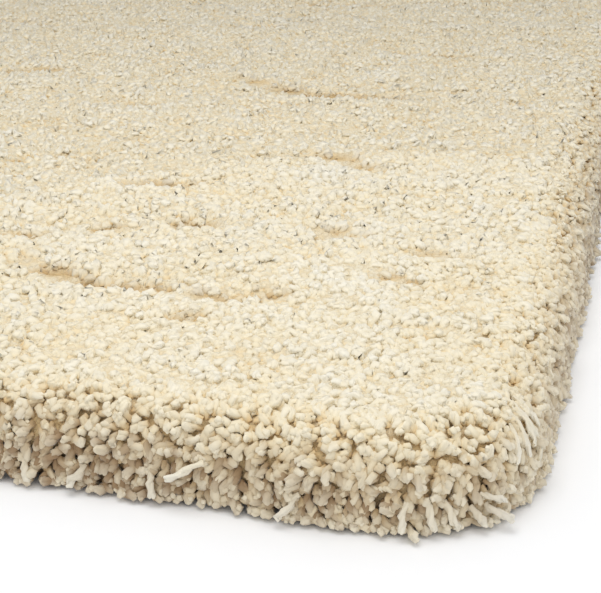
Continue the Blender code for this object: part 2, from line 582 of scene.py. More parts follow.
@dataclass(frozen=True)
class YarnFinish:
    """Curly ivory yarn, pale at the tip; the warmer, darker colours towards the root are painted shade.

    Attributes:
        tip: Colour of the cut tips.
        middle: Colour some way down, part way into the painted shade.
        root: Painted shade deep in the pile, golden where little light gets in.
        warm: Colour that yellower patches lean to.
        cool: Colour that whiter patches lean to.
    """

    name: str = "ivory_yarn"
    tip: Colour = (0.930, 0.880, 0.740)
    middle: Colour = (0.915, 0.795, 0.545)
    root: Colour = (0.790, 0.530, 0.220)
    warm: Colour = (0.920, 0.835, 0.640)
    cool: Colour = (0.930, 0.900, 0.800)
    # shade: colour of the painted shade low at the edge and along partings
    shade: Colour = (0.300, 0.180, 0.085)
    roughness: float = 0.62
    sheen: float = 0.5
    twist_lead: float = 7.5 * MM
    relief: float = 0.6 * MM
    softness: float = 0.32

    def material(self) -> bpy.types.Material:
        """Build the material."""
        material = bpy.data.materials.new(self.name)
        material.use_nodes = True
        bench = NodeBench(material.node_tree)
        shader = material.node_tree.nodes["Principled BSDF"]
        place = bench.add("ShaderNodeTexCoord").outputs["Object"]
        traits = {
            name: bench.add("ShaderNodeAttribute", attribute_name=name).outputs["Fac"]
            for name in ("depth", "tint", "tone", "gloom", "whole", "run", "ply_cos", "ply_sin")
        }
        # Painted shade: the colour runs from root to middle to tip by how deep each point lies in the pile
        low = bench.add("ShaderNodeMapRange", {0: traits["depth"], 1: 0.15, 2: 0.60}, clamp=True)
        high = bench.add("ShaderNodeMapRange", {0: traits["depth"], 1: 0.45, 2: 0.95}, clamp=True)
        patch = bench.add(
            "ShaderNodeTexNoise", {"Vector": place, "Scale": 26.0, "Detail": 3.0, "Roughness": 0.6}
        ).outputs[0]
        patch = bench.maths("MULTIPLY_ADD", bench.maths("SUBTRACT", patch, 0.5), 2.4, 0.5)
        patch = bench.maths("MULTIPLY_ADD", traits["tone"], 0.12, patch)
        patch = bench.maths("MULTIPLY_ADD", traits["tint"], 0.30, patch)
        warmth = bench.add("ShaderNodeClamp", {0: patch}).outputs[0]
        patched = bench.mix_colour(warmth, opaque(self.warm), opaque(self.cool))
        tip = bench.mix_colour(0.55, opaque(self.tip), patched)
        body = bench.mix_colour(low.outputs[0], opaque(self.root), opaque(self.middle))
        colour = bench.mix_colour(high.outputs[0], body, tip)
        # Painted shade low at the edge and along partings
        colour = bench.mix_colour(traits["gloom"], colour, opaque(self.shade))
        material.node_tree.links.new(colour, shader.inputs["Base Color"])
        twist = bench.add("ShaderNodeGroup", node_tree=twist_group())
        for socket, source in (("Run", "run"), ("Cos", "ply_cos"), ("Sin", "ply_sin"), ("Whole", "whole")):
            material.node_tree.links.new(traits[source], twist.inputs[socket])
        material.node_tree.links.new(place, twist.inputs["Place"])
        twist.inputs["Lead"].default_value = self.twist_lead
        bump = bench.add(
            "ShaderNodeBump", {"Height": twist.outputs[0], "Strength": 0.8, "Distance": self.relief}
        )
        outward = bench.add("ShaderNodeAttribute", attribute_name="outward").outputs["Vector"]
        outward = bench.add(
            "ShaderNodeVectorTransform",
            {0: outward},
            vector_type="NORMAL",
            convert_from="OBJECT",
            convert_to="WORLD",
        ).outputs[0]
        facing = bench.add(
            "ShaderNodeVectorMath", {0: bump.outputs[0], 1: outward}, operation="DOT_PRODUCT"
        ).outputs["Value"]
        upper = bench.add("ShaderNodeMapRange", {0: facing, 1: 0.0, 2: 0.5, 4: self.softness}, clamp=True)
        soft = bench.add("ShaderNodeMix", {0: upper.outputs[0]}, data_type="VECTOR")
        material.node_tree.links.new(bump.outputs[0], soft.inputs[4])
        material.node_tree.links.new(outward, soft.inputs[5])
        unit = bench.add("ShaderNodeVectorMath", {0: soft.outputs[1]}, operation="NORMALIZE").outputs[0]
        material.node_tree.links.new(unit, shader.inputs["Normal"])
        shader.inputs["Roughness"].default_value = self.roughness
        shader.inputs["Specular IOR Level"].default_value = 0.35
        shader.inputs["Sheen Weight"].default_value = self.sheen
        shader.inputs["Sheen Roughness"].default_value = 0.45
        shader.inputs["Sheen Tint"].default_value = opaque((1.0, 0.97, 0.90))
        return material


@dataclass(frozen=True)
class MatFinish:
    """The dense lower pile, where yarns stand too close to be told apart.

    Attributes:
        light: Colour of its lumps.
        pit_shade: Painted shade between the lumps.
        parted_shade: Golden painted shade along a parting and in the edge's bend.
        gloom: Painted shade low down at the edge.
    """

    name: str = "deep_pile"
    light: Colour = (0.915, 0.850, 0.685)
    pit_shade: Colour = (0.850, 0.720, 0.490)
    parted_shade: Colour = (0.700, 0.510, 0.260)
    gloom: Colour = (0.110, 0.075, 0.045)

    def material(self) -> bpy.types.Material:
        """Build the material."""
        material = bpy.data.materials.new(self.name)
        material.use_nodes = True
        bench = NodeBench(material.node_tree)
        shader = material.node_tree.nodes["Principled BSDF"]
        place = bench.add("ShaderNodeTexCoord").outputs["Object"]
        cells = bench.add("ShaderNodeTexVoronoi", {"Vector": place, "Scale": 300.0}).outputs["Distance"]
        fibre = bench.add("ShaderNodeTexNoise", {"Vector": place, "Scale": 1100.0}).outputs[0]
        height = bench.maths("SUBTRACT", bench.maths("MULTIPLY_ADD", fibre, 0.5, 0.9), cells)
        height = bench.add("ShaderNodeMapRange", {0: height, 1: 0.35, 2: 1.1}, clamp=True).outputs[0]
        # Painted shade between the lumps of the cell pattern
        colour = bench.mix_colour(height, opaque(self.pit_shade), opaque(self.light))
        gloom = bench.add("ShaderNodeAttribute", attribute_name="gloom").outputs["Fac"]
        parted_shade = bench.add("ShaderNodeAttribute", attribute_name="parted_shade").outputs["Fac"]
        # Painted shade along partings, in the edge's bend and low down by the floor
        colour = bench.mix_colour(parted_shade, colour, opaque(self.parted_shade))
        colour = bench.mix_colour(gloom, colour, opaque(self.gloom))
        material.node_tree.links.new(colour, shader.inputs["Base Color"])
        bump = bench.add("ShaderNodeBump", {"Height": height, "Distance": 1.5 * MM})
        material.node_tree.links.new(bump.outputs[0], shader.inputs["Normal"])
        shader.inputs["Roughness"].default_value = 0.95
        shader.inputs["Specular IOR Level"].default_value = 0.1
        return material


@dataclass(frozen=True)
class BackingFinish:
    """Plain woven backing: flat tapes crossed one over one, under a thin clear size."""

    name: str = "woven_backing"
    tape: Colour = (0.640, 0.560, 0.420)
    gap_shade: Colour = (0.300, 0.240, 0.160)
    pitch: float = 2.4 * MM

    def material(self) -> bpy.types.Material:
        """Build the material."""
        material = bpy.data.materials.new(self.name)
        material.use_nodes = True
        bench = NodeBench(material.node_tree)
        shader = material.node_tree.nodes["Principled BSDF"]
        place = bench.add("ShaderNodeTexCoord").outputs["Object"]
        parts = bench.add("ShaderNodeSeparateXYZ", {0: place}).outputs
        scale = math.pi / self.pitch
        wave_x = bench.maths("SINE", bench.maths("MULTIPLY", parts[0], scale))
        wave_y = bench.maths("SINE", bench.maths("MULTIPLY", parts[1], scale))
        over = bench.maths("MULTIPLY", wave_x, wave_y)
        warp = bench.maths("MULTIPLY", bench.maths("ABSOLUTE", wave_x), bench.maths("MAXIMUM", over, 0.0))
        under = bench.maths("MULTIPLY", over, -1.0)
        weft = bench.maths("MULTIPLY", bench.maths("ABSOLUTE", wave_y), bench.maths("MAXIMUM", under, 0.0))
        height = bench.maths("SQRT", bench.maths("ADD", warp, weft))
        # Painted shade in the hollows between the tapes
        colour = bench.mix_colour(height, opaque(self.gap_shade), opaque(self.tape))
        material.node_tree.links.new(colour, shader.inputs["Base Color"])
        bump = bench.add("ShaderNodeBump", {"Height": height, "Distance": 0.5 * MM})
        material.node_tree.links.new(bump.outputs[0], shader.inputs["Normal"])
        shader.inputs["Roughness"].default_value = 0.7
        return material


# ---------------------------------------------------------------------------------------------------
# Yarn: curves with traits, swept by one Geometry Nodes tree
# ---------------------------------------------------------------------------------------------------


@dataclass(frozen=True)
class Sweep:
    """How finely one stretch's yarns are modelled.

    Attributes:
        spacing: Distance between neighbouring tufts.
        plies: Strands twisted into one yarn.
        sides: Sides of each strand's tube.
        steps: Places along the yarn, from 0 at the root to 1 at the tip.
        fullness: Widening that makes up for the corners a coarse tube lacks.
        fuzz: How far the tube's surface is roughened.
    """

    spacing: float
    plies: int
    sides: int
    steps: tuple[float, ...]
    fullness: float
    fuzz: float


class Detail(Enum):
    """Choices of how finely yarns are modelled."""

    FINE = Sweep(3.4 * MM, 2, 4, (0.28, 0.46, 0.62, 0.78, 0.92, 1.0), 1.28, 0.15 * MM)
    MEDIUM = Sweep(3.7 * MM, 1, 4, (0.28, 0.48, 0.68, 0.90, 1.0), 1.32, 0.25 * MM)
    COARSE = Sweep(4.3 * MM, 1, 3, (0.30, 0.62, 1.0), 1.60, 0.0)


@dataclass(frozen=True)
class Curl:
    """How a curly yarn's end lies on the pile's surface, in its own three directions.

    Attributes:
        depth: How far under the surface the curl starts.
        lying: Shortest and longest stretch that lies on the surface.
        bend: Least and most the lying stretch turns.
        kink: Size of the yarn's crimp.
        dip: Least and most its end dips.
    """

    depth: float = 7 * MM
    lying: tuple[float, float] = (1.5 * MM, 6.0 * MM)
    bend: tuple[float, float] = (0.4, 2.8)
    kink: tuple[float, float] = (0.15 * MM, 0.50 * MM)
    dip: tuple[float, float] = (-0.4 * MM, 1.8 * MM)

    def path(self, draw: np.random.RandomState, way: np.ndarray, s: np.ndarray) -> np.ndarray:
        """Paths of some yarns.

        Args:
            draw: Source of chance.
            way: The direction in which each yarn first lies over.
            s: Places along the yarns, as a row.

        Returns:
            Yarns by places by three: two ways along the surface, and the way out of it.
        """
        count = len(way)

        def chance(low: float, high: float) -> np.ndarray:
            """A chance value for each yarn, between the two bounds."""
            return draw.uniform(low, high, count)[:, None]

        t = np.clip((s - 0.3) / 0.7, 0, 1)
        way = way[:, None]
        bend = chance(*self.bend) * draw.choice((-1, 1), count)[:, None]
        lying = chance(*self.lying)
        u = lying * (np.sin(way + bend * t) - np.sin(way)) / bend
        v = lying * (np.cos(way) - np.cos(way + bend * t)) / bend
        kink, phase, turns = chance(*self.kink), chance(0, math.tau), chance(8, 15)
        u = u + kink * np.cos(phase + turns * s)
        v = v + kink * np.sin(phase + turns * s)
        rise = np.sin(np.clip(s / 0.5, 0, 1) * math.pi / 2)
        w = -self.depth * (1 - rise) + kink * np.sin(phase * 1.7 + turns * 0.8 * s) * rise
        w = w - chance(*self.dip) * t**2
        return np.stack((u, v, w), axis=-1)


def plied(
    draw: np.random.RandomState, points: np.ndarray, s: np.ndarray, plies: int, radius: float
) -> np.ndarray:
    """Wind strands about the centre lines of yarns, so that they part at the cut tips.

    Args:
        draw: Source of chance.
        points: Yarns by places by three.
        s: Places along the yarns, as a row.
        plies: Strands in a yarn.
        radius: Radius of a yarn.

    Returns:
        The strands' centre lines, all first strands before all second ones.
    """
    if plies == 1:
        return points
    ahead = np.gradient(points, axis=1)
    ahead /= np.linalg.norm(ahead, axis=-1, keepdims=True)
    side = np.zeros_like(points)
    start = draw.normal(0, 1, (len(points), 3))
    for step in range(points.shape[1]):
        tangent = ahead[:, step]
        start = start - (start * tangent).sum(-1, keepdims=True) * tangent
        start /= np.linalg.norm(start, axis=-1, keepdims=True)
        side[:, step] = start
    other = np.cross(ahead, side)
    turns = draw.uniform(5.5, 9.0, len(points))[:, None]
    first = draw.uniform(0, math.tau, len(points))[:, None]
    reach = radius * np.interp(s, (0, 0.5, 0.84, 1), (0.34, 0.38, 0.42, 0.54))
    reach = (reach * draw.uniform(0.8, 1.25, (len(points), 1)))[..., None]
    wound = []
    for ply in range(plies):
        angle = (first + turns * s + math.tau * ply / plies)[..., None]
        wound.append(points + reach * (np.cos(angle) * side + np.sin(angle) * other))
    return np.concatenate(wound)


def girths(draw: np.random.RandomState, count: int, s: np.ndarray, radius: float) -> np.ndarray:
    """Radii along lumpy yarns with rounded tips.

    Args:
        draw: Source of chance.
        count: Number of yarns.
        s: Shares of a yarn's length, from root to tip.
        radius: Radius of a usual yarn.

    Returns:
        Yarns by points.
    """
    own = radius * draw.uniform(0.84, 1.18, count)[:, None]
    phase = draw.uniform(0, math.tau, count)[:, None]
    lumps = 1 + 0.13 * np.sin(phase + s * draw.uniform(10, 16, count)[:, None])
    return own * lumps * np.interp(s, (0, 0.3, 0.5, 0.86, 0.95, 1), (0.75, 0.9, 1.0, 1.1, 0.92, 0.5))


@dataclass
class Strands:
    """Centre lines of yarns and what each point carries.

    Attributes:
        points: Yarns by points by three coordinates.
        thickness: Radius at each point.
        depth: Near 0 deep in the pile to 1 at the tip; the lower it is, the more painted shade in the
            colour.
        tint: Chance tint of each yarn.
        tone: Tone of each yarn's clump.
        gloom: Painted shade at each point, towards the floor under the edge and along partings.
        whole: 1 where one strand stands for a whole twisted yarn, or else 0.
        outward: The way out of the pile at each point.
    """

    points: np.ndarray
    thickness: np.ndarray
    depth: np.ndarray
    tint: np.ndarray
    tone: np.ndarray
    gloom: np.ndarray
    whole: float
    outward: np.ndarray

    @classmethod
    def of_yarns(
        cls,
        draw: np.random.RandomState,
        points: np.ndarray,
        sweep: Sweep,
        radius: float | np.ndarray,
        tone: np.ndarray,
        gloom: np.ndarray,
        s: np.ndarray,
        under: np.ndarray,
        outward: np.ndarray,
    ) -> "Strands":
        """Strands of some yarns.

        Args:
            draw: Source of chance.
            points: The yarns' centre lines.
            sweep: How finely they are modelled.
            radius: Radius of a yarn, one for all or a column of one for each.
            tone: Tone of each yarn's clump.
            gloom: Painted shade at each point.
            s: Places along the yarns, as a row.
            under: How far each point lies under the pile's surface.
            outward: The way out of the pile at each point.

        Returns:
            The strands, one or more for each yarn.
        """
        # Painted shade: the deeper a point lies under the pile's surface, the darker and more golden it is
        # drawn
        depth = 0.3 * s + 0.7 * (1 - smooth_step(under, -0.5 * MM, 5.5 * MM))
        plies = sweep.plies
        count = len(points) * plies
        own = np.tile(np.broadcast_to(radius, (len(points), 1)), (plies, 1)) * (1.0 if plies == 1 else 0.74)
        return cls(
            points=plied(draw, points, s, plies, radius),
            thickness=girths(draw, count, s, own),
            depth=np.tile(depth, (plies, 1)),
            tint=np.tile(draw.uniform(-1, 1, len(points)), plies) * 0.8 + draw.uniform(-0.2, 0.2, count),
            tone=np.tile(tone, plies),
            gloom=np.tile(gloom, (plies, 1)),
            whole=float(plies == 1),
            outward=np.tile(outward, (plies, 1, 1)),
        )

    def lines(self, name: str) -> bpy.types.Mesh:
        """The centre lines as a mesh of edges, with the traits as point attributes.

        Args:
            name: Name of the mesh.

        Returns:
            The mesh.
        """
        count, steps = self.points.shape[:2]
        mesh = bpy.data.meshes.new(name)
        mesh.vertices.add(count * steps)
        mesh.vertices.foreach_set("co", self.points.astype(np.float32).ravel())
        first = (np.arange(count)[:, None] * steps + np.arange(steps - 1)[None]).ravel()
        mesh.edges.add(len(first))
        mesh.edges.foreach_set("vertices", np.stack((first, first + 1), axis=-1).astype(np.int32).ravel())
        spread = np.ones((1, steps))
        traits = {
            "thickness": self.thickness,
            "depth": self.depth,
            "tint": self.tint[:, None] * spread,
            "tone": self.tone[:, None] * spread,
            "gloom": self.gloom,
            "whole": self.whole * np.ones_like(self.depth),
        }
        for trait, values in traits.items():
            attribute = mesh.attributes.new(trait, "FLOAT", "POINT")
            attribute.data.foreach_set("value", values.astype(np.float32).ravel())
        outward = mesh.attributes.new("outward", "FLOAT_VECTOR", "POINT")
        outward.data.foreach_set("vector", self.outward.astype(np.float32).ravel())
        mesh.update()
        return mesh


class YarnLoom:
    """Sweeps strands into yarn meshes with one Geometry Nodes tree."""

    INPUTS = (
        ("Sides", "NodeSocketInt"),
        ("Fullness", "NodeSocketFloat"),
        ("Fuzz", "NodeSocketFloat"),
        ("Fuzz size", "NodeSocketFloat"),
        ("Seed", "NodeSocketFloat"),
        ("Material", "NodeSocketMaterial"),
    )
    FUZZ_SIZE = 1.1 * MM

    def __init__(self) -> None:
        """Build the tree and keep the identifiers of its inputs."""
        self.tree = bpy.data.node_groups.new("yarn_sweep", "GeometryNodeTree")
        face = self.tree.interface
        face.new_socket("Geometry", in_out="INPUT", socket_type="NodeSocketGeometry")
        face.new_socket("Geometry", in_out="OUTPUT", socket_type="NodeSocketGeometry")
        self.keys = {
            name: face.new_socket(name, in_out="INPUT", socket_type=kind).identifier
            for name, kind in self.INPUTS
        }
        bench = NodeBench(self.tree)
        given = bench.add("NodeGroupInput").outputs
        curve = bench.add("GeometryNodeMeshToCurve", {0: given["Geometry"]}).outputs[0]
        run = bench.add("GeometryNodeSplineParameter").outputs["Length"]
        curve = self._store(bench, curve, "run", run)
        rim = bench.add("GeometryNodeCurvePrimitiveCircle", {"Resolution": given["Sides"]}).outputs[0]
        ring_point = bench.add("GeometryNodeInputPosition").outputs[0]
        round_place = bench.add("ShaderNodeSeparateXYZ", {0: ring_point})
        rim = self._store(bench, rim, "ply_cos", round_place.outputs[0])
        rim = self._store(bench, rim, "ply_sin", round_place.outputs[1])
        thickness = bench.add("GeometryNodeInputNamedAttribute", {"Name": "thickness"}, data_type="FLOAT")
        radius = bench.maths("MULTIPLY", thickness.outputs[0], given["Fullness"])
        tube = bench.add(
            "GeometryNodeCurveToMesh",
            {"Curve": curve, "Profile Curve": rim, "Scale": radius, "Fill Caps": True},
        ).outputs[0]
        place = bench.add("GeometryNodeInputPosition").outputs[0]
        coarse = bench.maths("DIVIDE", 1.0, given["Fuzz size"])
        noise = bench.add(
            "ShaderNodeTexNoise",
            {"Vector": place, "W": given["Seed"], "Scale": coarse, "Detail": 1.0},
            noise_dimensions="4D",
        ).outputs[0]
        bulge = bench.maths("MULTIPLY", bench.maths("SUBTRACT", noise, 0.5), given["Fuzz"])
        bulge = bench.maths("MULTIPLY", bulge, 4.0)
        normal = bench.add("GeometryNodeInputNormal").outputs[0]
        offset = bench.add(
            "ShaderNodeVectorMath", {0: normal, "Scale": bulge}, operation="SCALE"
        ).outputs[0]
        rough = bench.add("GeometryNodeSetPosition", {"Geometry": tube, "Offset": offset}).outputs[0]
        soft = bench.add("GeometryNodeSetShadeSmooth", {"Geometry": rough, "Shade Smooth": True}).outputs[0]
        whole = bench.add("GeometryNodeRealizeInstances", {0: soft}).outputs[0]
        dressed = bench.add("GeometryNodeSetMaterial", {"Geometry": whole, "Material": given["Material"]})
        bench.add("NodeGroupOutput", {0: dressed.outputs[0]})

    @staticmethod
    def _store(bench: NodeBench, curve: object, name: str, value: object) -> bpy.types.NodeSocket:
        """Store a number on a curve's points under a name."""
        return bench.add(
            "GeometryNodeStoreNamedAttribute",
            {"Geometry": curve, "Name": name, "Value": value},
            data_type="FLOAT",
            domain="POINT",
        ).outputs[0]

    def weave(
        self, name: str, strands: Strands, sweep: Sweep, material: bpy.types.Material, seed: float
    ) -> bpy.types.Object:
        """Sweep strands into one mesh object.

        Args:
            name: The piece's name.
            strands: The yarns' centre lines.
            sweep: How finely they are modelled.
            material: Their finish.
            seed: Seed of the fuzz.

        Returns:
            The finished piece, a plain mesh.
        """
        lines = bpy.data.objects.new(name + "_lines", strands.lines(name + "_lines"))
        bpy.context.scene.collection.objects.link(lines)
        modifier = lines.modifiers.new("sweep", "NODES")
        modifier.node_group = self.tree
        values = {
            "Sides": sweep.sides,
            "Fullness": sweep.fullness,
            "Fuzz": sweep.fuzz,
            "Fuzz size": self.FUZZ_SIZE,
            "Seed": seed,
            "Material": material,
        }
        for key, value in values.items():
            modifier[self.keys[key]] = value
        graph = bpy.context.evaluated_depsgraph_get()
        mesh = bpy.data.meshes.new_from_object(lines.evaluated_get(graph), depsgraph=graph)
        mesh.name = name
        bpy.data.objects.remove(lines)
        piece = bpy.data.objects.new(name, mesh)
        bpy.context.scene.collection.objects.link(piece)
        mesh.calc_loop_triangles()
        LOG.info("%s: %d yarns, %d triangles", name, len(strands.points), len(mesh.loop_triangles))
        return piece


# ---------------------------------------------------------------------------------------------------
# Sub-assemblies
# ---------------------------------------------------------------------------------------------------


@dataclass
class StandingPile:
    """The yarns that stand on the rug's top, inside its rolled edge.

    Attributes:
        edge: How far inside the outline this pile starts.
        radius: Radius of a yarn.
        parting_gloom: How much painted shade yarns get along a parting.
    """

    form: PileForm
    lay: PileLay
    loom: YarnLoom
    curl: Curl = Curl()
    edge: float = 24 * MM
    radius: float = 1.45 * MM
    parting_gloom: float = 0.42
    seed: int = 7

    def roots(self, sweep: Sweep, seed: int) -> np.ndarray:
        """Set out tufts over the whole top.

        Args:
            sweep: How finely they are modelled.
            seed: Seed of their places.

        Returns:
            Rows of x and y.
        """
        draw = np.random.RandomState(seed)
        outline = self.form.outline
        rows = np.arange(-outline.half_y, outline.half_y, sweep.spacing * math.sqrt(3) / 2)
        columns = np.arange(-outline.half_x, outline.half_x, sweep.spacing)
        x, y = np.meshgrid(columns, rows)
        x = x + (np.arange(len(rows)) % 2)[:, None] * sweep.spacing / 2
        x = x.ravel() + draw.uniform(-0.3, 0.3, x.size) * sweep.spacing
        y = y.ravel() + draw.uniform(-0.3, 0.3, y.size) * sweep.spacing
        inset, _ = outline.inset(x, y)
        kept = inset > self.edge + draw.uniform(-2, 2, x.size) * MM
        return np.stack((x[kept], y[kept]), axis=-1)

    def strands(self, roots: np.ndarray, sweep: Sweep, seed: int) -> Strands:
        """Centre lines of the yarns that grow from these roots.

        Args:
            roots: Rows of x and y.
            sweep: How finely the yarns are modelled.
            seed: Seed of their shapes.

        Returns:
            The strands.
        """
        draw = np.random.RandomState(seed)
        count = len(roots)
        s = np.array(sweep.steps)[None]
        lean, lift, tone, parting_shade = self.lay.read(roots)
        inset, away = self.form.outline.inset(roots[:, 0], roots[:, 1])
        spill = 1 - smooth_step(inset, self.edge, self.edge + 22 * MM)
        lean = lean + away * spill[:, None] * 4 * MM
        path = self.curl.path(draw, draw.uniform(0, math.tau, count), s)
        over = (s**1.3)[..., None]
        place = roots[:, None] + lean[:, None] * over + path[..., :2]
        lift = lift + draw.normal(0, 0.35, count) * MM
        out = path[..., 2] - self.radius * 0.7 + lift[:, None] * np.clip(s * 2, 0, 1)
        z = self.form.height(place[..., 0], place[..., 1]) + out
        points = np.concatenate((place, z[..., None]), axis=-1)
        outward = np.broadcast_to(np.array((0.0, 0.0, 1.0)), points.shape)
        # Painted shade along partings, deepest at each yarn's root
        fade = 1.25 - 0.5 * s  # deepest at the root
        gloom = self.parting_gloom * parting_shade[:, None] * fade
        return Strands.of_yarns(draw, points, sweep, self.radius, tone, gloom, s, -out, outward)

    def build(self, material: bpy.types.Material) -> list[bpy.types.Object]:
        """Build the standing pile: fine near the front right corner, coarser further off.

        Args:
            material: The finish.

        Returns:
            The pieces.
        """
        corner = np.array((self.form.high.x, self.form.low.y))
        near, middle = 190 * MM, 340 * MM
        left_end, back_start = -80 * MM, 170 * MM
        stretches = (
            ("pile_corner", Detail.FINE, lambda off, y: off < near),
            ("pile_front", Detail.MEDIUM, lambda off, y: (off >= near) & (off < middle)),
            ("pile_left", Detail.COARSE, lambda off, y: (off >= middle) & (y < left_end)),
            (
                "pile_middle",
                Detail.COARSE,
                lambda off, y: (off >= middle) & (y >= left_end) & (y < back_start),
            ),
            ("pile_back", Detail.COARSE, lambda off, y: (off >= middle) & (y >= back_start)),
        )
        pieces = []
        for index, (name, detail, within) in enumerate(stretches):
            seed = self.seed + round(detail.value.spacing / (0.1 * MM))
            roots = self.roots(detail.value, seed)
            roots = roots[within(np.hypot(*(roots - corner).T), roots[:, 1])]
            strands = self.strands(roots, detail.value, self.seed + 100 * (index + 1))
            pieces.append(self.loom.weave(name, strands, detail.value, material, float(index)))
        return pieces


@dataclass
class HangingPile:
    """The yarns round the edge, which roll over and hang to the floor.

    Attributes:
        lowest: Height up the profile of the lowest tufts.
        highest: Height up the profile of the highest tufts.
        radius: Radius of a yarn.
        gloom: How much painted shade the pile gets down by the floor.
        gloom_most: The most painted shade that any yarn gets.
        root_shade_scale: Under 1, so that edge yarns take more of the painted shade towards the root.
    """

    form: PileForm
    loom: YarnLoom
    curl: Curl = Curl(depth=6 * MM, lying=(2.0 * MM, 7.0 * MM), bend=(0.3, 2.4))
    lowest: float = 4 * MM
    highest: float = 47 * MM
    radius: float = 1.4 * MM
    gloom: float = 0.85
    gloom_most: float = 0.92
    root_shade_scale: float = 0.76
    seed: int = 19

    # Shares of painted shade along the outline, standing in for less light on the front's left half
    SHADE_PLACES = (-150, -90, -40, 30, 90, 150)  # millimetres along the outline from the corner's start
    SHADE_SHARES = (1.35, 1.25, 0.88, 0.74, 0.50, 0.85)

    def shading(self, along: np.ndarray) -> np.ndarray:
        """Share of the painted shade by place: most on the front's left half, least round its right corner.

        Args:
            along: Distances along the outline.

        Returns:
            The share at each.
        """
        length = self.form.outline.length
        place = (np.mod(along + length / 2, length) - length / 2) / MM
        return np.interp(place, self.SHADE_PLACES, self.SHADE_SHARES)

    def roots(self, sweep: Sweep, seed: int) -> tuple[np.ndarray, np.ndarray, np.ndarray]:
        """Set out tufts along the edge and up its profile.

        Args:
            sweep: How finely they are modelled.
            seed: Seed of their places.

        Returns:
            Distances along the edge, distances up its profile, and the places in space.
        """
        draw = np.random.RandomState(seed)
        outline = self.form.outline
        along, up = np.meshgrid(
            np.arange(0, outline.length, sweep.spacing),
            np.arange(self.lowest, self.highest, sweep.spacing * 0.80),
        )
        along = along + (np.arange(along.shape[0]) % 2)[:, None] * sweep.spacing / 2
        along = along.ravel() + draw.uniform(-0.35, 0.35, along.size) * sweep.spacing
        up = up.ravel() + draw.uniform(-0.35, 0.35, up.size) * sweep.spacing
        places, _ = self.form.on_roll(along, up, np.zeros_like(up))
        inset, _ = outline.inset(places[:, 0], places[:, 1])
        over_x = np.abs(places[:, 0]) > outline.half_x - outline.radius
        over_y = np.abs(places[:, 1]) > outline.half_y - outline.radius
        room = np.where(over_x & over_y, 1 - np.clip(inset, 0, None) / outline.radius, 1.0)
        kept = draw.uniform(0, 1, along.size) < room
        return along[kept], up[kept], places[kept]

    def strands(self, along: np.ndarray, up: np.ndarray, sweep: Sweep, seed: int) -> Strands:
        """Centre lines of the yarns that grow from these places on the edge.

        Args:
            along: Distances along the outline.
            up: Distances up the edge's profile.
            sweep: How finely the yarns are modelled.
            seed: Seed of their shapes.

        Returns:
            The strands.
        """
        draw = np.random.RandomState(seed)
        count = len(along)
        s = np.array(sweep.steps)[None]
        falling = 1 - smooth_step(up, 12 * MM, 40 * MM)
        way = -math.pi / 2 + draw.normal(0, 1, count) * (0.75 + 2.0 * (1 - falling))
        path = self.curl.path(draw, way, s)
        drop = (draw.uniform(0.5, 4.0, count) * MM * falling)[:, None]
        climb = up[:, None] + path[..., 1] - drop * s
        floor = self.radius * sweep.fullness + sweep.fuzz + 0.4 * MM
        spare = np.clip(floor - climb, 0, None)
        climb = np.maximum(climb, floor)
        flick = np.abs(draw.normal(0, 1.3, count))[:, None] * MM
        out = path[..., 2] - self.radius + flick * smooth_step(s, 0.5, 1.0)
        out = out + np.minimum(spare * 0.5, 3 * MM)
        points, outward = self.form.on_roll(along[:, None] + path[..., 0], climb, out)
        points[..., 2] = np.maximum(points[..., 2], floor)
        # Painted shade: more towards the floor, more on the front's left half, most at each yarn's root
        low = 1 - smooth_step(points[..., 2], 8 * MM, 33 * MM)
        own = draw.uniform(0.35, 1.25, count)[:, None]
        shade = self.gloom * self.shading(along)[:, None]
        fade = 1.85 - 1.50 * s  # deepest at the root
        gloom = np.clip(shade * low * own * fade, 0, self.gloom_most)
        tone = draw.uniform(-1, 1, count)
        strands = Strands.of_yarns(draw, points, sweep, self.radius, tone, gloom, s, -out, outward)
        # Painted shade: edge yarns take more of the golden shade of deep yarn
        strands.depth = strands.depth * self.root_shade_scale
        return strands

    def build(self, material: bpy.types.Material) -> list[bpy.types.Object]:
        """Build the hanging pile, finely near the front right corner.

        Args:
            material: The finish.

        Returns:
            The pieces.
        """
        corner = np.array((self.form.high.x, self.form.low.y))
        near = 230 * MM
        stretches = (
            ("edge_corner", Detail.FINE, lambda off, y: off < near),
            ("edge_front", Detail.COARSE, lambda off, y: (off >= near) & (y < 0)),
            ("edge_back", Detail.COARSE, lambda off, y: (off >= near) & (y >= 0)),
        )
        pieces = []
        for index, (name, detail, within) in enumerate(stretches):
            seed = self.seed + round(detail.value.spacing / (0.1 * MM))
            along, up, places = self.roots(detail.value, seed)
            chosen = within(np.hypot(*(places[:, :2] - corner).T), places[:, 1])
            seed = self.seed + 100 * (index + 1)
            strands = self.strands(along[chosen], up[chosen], detail.value, seed)
            pieces.append(self.loom.weave(name, strands, detail.value, material, 20.0 + index))
        return pieces


@dataclass(frozen=True)
class Stray:
    """A yarn that lies apart from the others, in millimetres on the edge's own map.

    Attributes:
        start: Its root's distance along the outline, up the profile and off the surface.
        end: The same for its tip.
        bow: How far its middle bows along the outline.
        radius: Its radius.
        gloom: How much painted shade it gets.
    """

    start: Place
    end: Place
    bow: float = 0.0
    radius: float = 0.95
    gloom: float = 0.0


